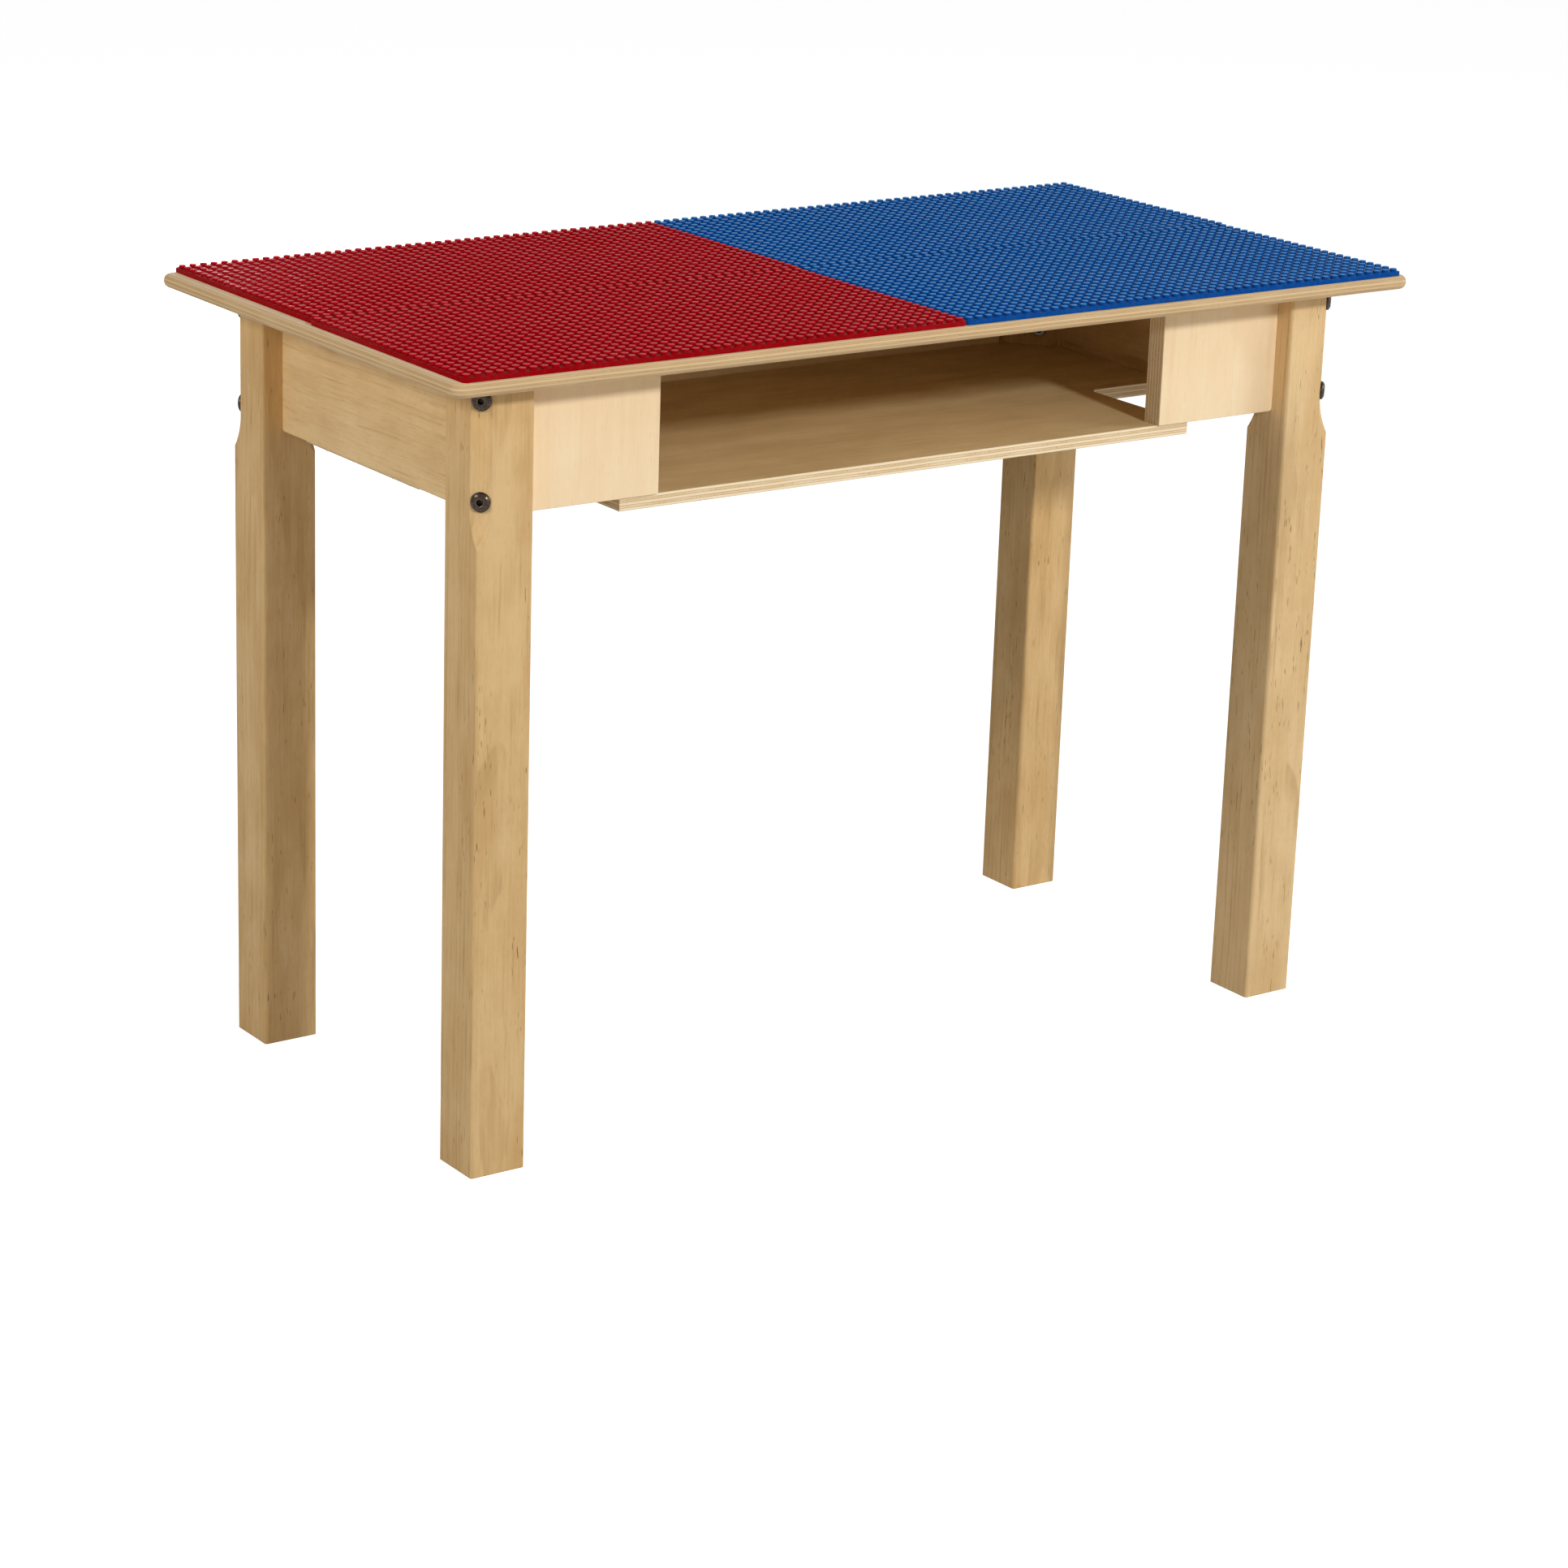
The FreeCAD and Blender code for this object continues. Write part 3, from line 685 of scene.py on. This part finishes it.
def leg_bolt(name, seat, inward, across, z, grip):
    """Button-head bolt with a flat face, a domed rim, a hexagon socket and a threaded end."""
    vertices, faces = [], []
    top = -BOLT_HEAD_HEIGHT

    def at(depth, radius_at):
        return ring(seat + UP * z + inward * depth, across, UP, radius_at, METAL_SIDES)

    socket = hexagon(BOLT_SOCKET_FLATS)
    socket_mouth = hexagon(BOLT_SOCKET_FLATS + 2 * BOLT_SOCKET_EASE)
    rings = [at(top + BOLT_SOCKET_DEPTH, socket), at(top + BOLT_SOCKET_EASE, socket),
             at(top, socket_mouth), at(top, circle(BOLT_FACE_RADIUS - BOLT_FACE_EASE)),
             at(top, circle(BOLT_FACE_RADIUS))]
    radius, depth = BOLT_FACE_RADIUS, top
    for bend, first, last in BOLT_HEAD_BENDS:
        radius -= bend * math.sin(math.radians(first))
        depth += bend * math.cos(math.radians(first))
        for step in range(1, BOLT_BEND_STEPS + 1):
            tilt = math.radians(first + (last - first) * step / BOLT_BEND_STEPS)
            rings.append(at(depth - bend * math.cos(tilt), circle(radius + bend * math.sin(tilt))))
        radius += bend * math.sin(tilt)
        depth -= bend * math.cos(tilt)
    rings += [at(0.0, circle(BOLT_HEAD_RADIUS)), at(0.0, circle(BOLT_RADIUS))]
    length = grip + NUT_THICKNESS + BOLT_END
    depth = length - THREAD_LENGTH
    rings.append(at(depth, circle(BOLT_RADIUS)))
    while depth < length - THREAD_PITCH:
        rings.append(at(depth + THREAD_PITCH / 2, circle(BOLT_RADIUS - THREAD_DEPTH)))
        rings.append(at(depth + THREAD_PITCH, circle(BOLT_RADIUS)))
        depth += THREAD_PITCH
    rings.append(at(length, circle(BOLT_RADIUS - 2 * THREAD_DEPTH)))
    skin(vertices, faces, rings)
    make_piece(name, vertices, faces, DARK_BRONZE, ["leg_bolts"])


def leg_nut(name, seat, inward, across, z, grip):
    """Hexagon nut with eased corners, against the block."""
    vertices, faces = [], []

    def at(depth, radius_at):
        return ring(seat + UP * z + inward * (grip + depth), across, UP, radius_at, METAL_SIDES)

    full = hexagon(NUT_FLATS)
    eased = hexagon(NUT_FLATS, NUT_FLATS / 2)
    bore = circle(BOLT_RADIUS)
    rings = [at(0.0, bore), at(0.0, eased), at(NUT_EASE, full),
             at(NUT_THICKNESS - NUT_EASE, full), at(NUT_THICKNESS, eased), at(NUT_THICKNESS, bore)]
    skin(vertices, faces, rings, loop=True)
    make_piece(name, vertices, faces, ZINC_STEEL, ["leg_nuts"])


def leg_joints():
    """The two bolts and two nuts at each leg."""
    grip = joint_grip()
    for leg in LEGS:
        seat, inward, across = joint_axes(leg)
        for level, z in zip(("lower", "upper"), bolt_levels()):
            place = leg.replace("leg_", "") + "_" + level
            leg_bolt("bolt_" + place, seat, inward, across, z, grip)
            leg_nut("nut_" + place, seat, inward, across, z, grip)


# Shelf screws
def wood_screw(name, place):
    """Raised countersunk head of a wood screw, seen from below, with a cross recess."""
    vertices, faces = [], []

    def at(drop, radius_at):
        return ring(place - UP * drop, EAST, NORTH, radius_at, METAL_SIDES)

    recess = cross(SCREW_ARM, SCREW_ARM_HALF_WIDTH)
    recess_floor = cross(SCREW_FLOOR_ARM, SCREW_FLOOR_HALF_WIDTH)
    rings = [at(SCREW_CROWN - SCREW_RECESS, recess_floor), at(SCREW_CROWN, recess)]
    for share in SCREW_CROWN_SHARES:
        radius = SCREW_FACE_RADIUS + (SCREW_RADIUS - SCREW_FACE_RADIUS) * share
        rings.append(at(SCREW_CROWN * (1 - share ** 2), circle(radius)))
    skin(vertices, faces, rings)
    make_piece(name, vertices, faces, ZINC_STEEL)


def shelf_screws():
    """Screws that hold the shelf to the front panels, the rear rail and the end rails."""
    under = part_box("storage_shelf")[0].z
    rear_low, rear_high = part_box("rear_apron")
    rear_y = (rear_low.y + rear_high.y) / 2
    front_low, front_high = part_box("front_fascia_right")
    front_x = front_low.x + FRONT_SCREW_EDGE
    front_y = (front_low.y + front_high.y) / 2
    end_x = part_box("end_apron_right")[0].x + END_SCREW_EDGE
    places = []
    for side in (-1, 1):
        places.append(("front", Vector((side * front_x, front_y, under))))
        for share in REAR_SCREW_SHARES:
            places.append(("rear", Vector((side * rear_high.x * share, rear_y, under))))
        for y in END_SCREW_PLACES:
            places.append(("end", Vector((side * end_x, y, under))))
    for index, (rail, place) in enumerate(places):
        wood_screw("shelf_screw_%s_%d" % (rail, index), place)


# Wooden nodes
def dress(node, material):
    """Gives a node of the frame its finish."""
    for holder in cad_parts[node].material_slots:
        holder.material = material


def board_place(first, step, index):
    """Place of one of several boards in their tree, so that each has its own figure."""
    return tuple(start + index * stride for start, stride in zip(first, step))


def heart_from(cut, away):
    """Heart of the tree, so far in X and Y from where a board was cut."""
    return (cut[0] + away[0], cut[1] + away[1], 0.0)


def spaced(node):
    """A node's name in words."""
    return node.replace("_", " ")


def dress_legs():
    """Maple for each leg and for its corner block. The front right leg is a paler piece."""
    for index, leg in enumerate(LEGS):
        low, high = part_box(leg)
        cut = board_place(LEG_CUT, LEG_STEP, index)
        away = ((low.x + high.x) / 2 + LEG_HEART_STEP * index,
                (low.y + high.y) / 2 + LEG_HEART_BEHIND)
        tones = (MAPLE_PALE, MAPLE_WARM)
        if leg == "leg_front_right":
            tones = (LIGHT_LEG_PALE, LIGHT_LEG_WARM)
        dress(leg, maple(spaced(leg) + " maple", "Z", cut, heart_from(cut, away), tones))
        block = leg.replace("leg", "corner_block")
        cut = board_place(BLOCK_CUT, BLOCK_STEP, index)
        dress(block, maple(spaced(block) + " maple", "Z", cut, cut))


def dress_end_aprons():
    """Maple for the two end rails."""
    for index, apron in enumerate(("end_apron_left", "end_apron_right")):
        cut = board_place(APRON_CUT, APRON_STEP, index)
        heart = heart_from(cut, APRON_HEART)
        dress(apron, maple(spaced(apron) + " maple", "Y", cut, heart,
                           (APRON_PALE, APRON_WARM), APRON_FLECKS))


def dress_plywood():
    """Birch plywood for the top, the shelf, the rear rail and the front panels."""
    dress("table_top", birch_ply("top ply", "table_top", "Z", "X", TOP_PLIES, TOP_CUT,
                                 heart_from(TOP_CUT, TOP_HEART), (BIRCH_PALE, BIRCH_WARM), TOP_EDGE))
    dress("storage_shelf", birch_ply("shelf ply", "storage_shelf", "Z", "X", SHELF_PLIES, SHELF_CUT,
                                     heart_from(SHELF_CUT, SHELF_HEART), (SHELF_PALE, SHELF_WARM),
                                     SHELF_EDGE))
    # The rails take the paler edge tones, painted light on their cut ends
    rails = (("rear_apron", "X"), ("front_fascia_left", "Z"), ("front_fascia_right", "Z"))
    for index, (rail, along) in enumerate(rails):
        cut = board_place(RAIL_CUT, RAIL_STEP, index)
        dress(rail, birch_ply(spaced(rail) + " ply", rail, "Y", along, RAIL_PLIES, cut,
                              heart_from(cut, RAIL_HEART), (BIRCH_PALE, BIRCH_WARM), RAIL_EDGE_PAINTED_LIGHT))


# Studio
def white_to_the_eye(weaver):
    """One where the camera looks, straight or by a mirror or glass, else zero."""
    path = weaver.node("ShaderNodeLightPath").outputs
    seen = weaver.number("MAXIMUM", path["Is Camera Ray"], path["Is Glossy Ray"])
    return weaver.number("MAXIMUM", seen, path["Is Transmission Ray"])


def studio_floor():
    """Pale floor that takes a soft shadow and reads white."""
    material = bpy.data.materials.new("pale floor")
    material.use_nodes = True
    w = Weaver(material.node_tree)
    w.tree.nodes.remove(w.tree.nodes["Principled BSDF"])
    paint = w.node("ShaderNodeBsdfDiffuse", {"Color": FLOOR_PAINT}).outputs[0]
    lift = w.number("MULTIPLY", white_to_the_eye(w), FLOOR_LIFT)
    glow = w.node("ShaderNodeEmission", {"Strength": lift}).outputs[0]
    both = w.node("ShaderNodeAddShader", {0: paint, 1: glow}).outputs[0]
    w.feed(w.tree.nodes["Material Output"].inputs["Surface"], both)
    mesh = bpy.data.meshes.new("studio_floor")
    reach = FLOOR_REACH
    mesh.from_pydata([(-reach, -reach, 0), (reach, -reach, 0), (reach, reach, 0), (-reach, reach, 0)],
                     [], [(0, 1, 2, 3)])
    mesh.materials.append(material)
    floor = bpy.data.objects.new("studio_floor", mesh)
    bpy.context.scene.collection.objects.link(floor)


def studio_world():
    """White behind the object, and an even pale light on it from all round."""
    world = bpy.data.worlds.new("studio")
    bpy.context.scene.world = world
    world.use_nodes = True
    w = Weaver(world.node_tree)
    background = w.tree.nodes["Background"]
    w.feed(background.inputs["Color"], WHITE)
    w.feed(background.inputs["Strength"], w.between(white_to_the_eye(w), WORLD_LIGHT, 1.0))


def lamp(name, place, aim, size, power, colour=PLAIN_LIGHT):
    """Square soft light at a place, turned to what it lights."""
    data = bpy.data.lights.new(name, "AREA")
    data.size = size
    data.energy = power
    data.color = colour
    light = bpy.data.objects.new(name, data)
    light.location = place
    light.rotation_euler = (Vector(aim) - Vector(place)).to_track_quat("-Z", "Y").to_euler()
    bpy.context.scene.collection.objects.link(light)


def studio_lamps():
    """A small key from the front, with broader lamps that fill the sides, the bay and the back."""
    lamp("key", place=(-0.28, -3.6, 2.1), aim=(0, 0, 0.4), size=0.3, power=70)
    lamp("left fill", place=(-2.3, -0.15, 1.42), aim=(-0.35, -0.05, 0.3), size=0.6, power=21.5,
         colour=WARM_LIGHT)
    lamp("right fill", place=(3.0, -1.6, 1.6), aim=(0, 0, 0.35), size=1.6, power=47)
    lamp("low fill", place=(2.3, -3.3, 0.6), aim=(0, 0, 0.45), size=1.0, power=9)
    lamp("back fill", place=(0.9, 3.0, 0.3), aim=(0, 0.1, 0.3), size=0.6, power=26)


def studio_camera():
    """Camera where the photograph was taken."""
    data = bpy.data.cameras.new("camera")
    data.lens = CAMERA_LENS
    data.sensor_width = SENSOR_WIDTH
    camera = bpy.data.objects.new("camera", data)
    turn = Matrix.Rotation(math.radians(CAMERA_HEADING), 4, "Z")
    tilt = Matrix.Rotation(math.radians(90 + CAMERA_TILT), 4, "X")
    roll = Matrix.Rotation(math.radians(CAMERA_ROLL), 4, "Z")
    camera.matrix_world = Matrix.Translation(CAMERA_PLACE) @ turn @ tilt @ roll
    bpy.context.scene.collection.objects.link(camera)
    bpy.context.scene.camera = camera


studio_camera()
studio_floor()
studio_world()
studio_lamps()

studded_plates()
leg_joints()
shelf_screws()
dress_legs()
dress_end_aprons()
dress_plywood()

bpy.context.scene.view_settings.view_transform = "Standard"
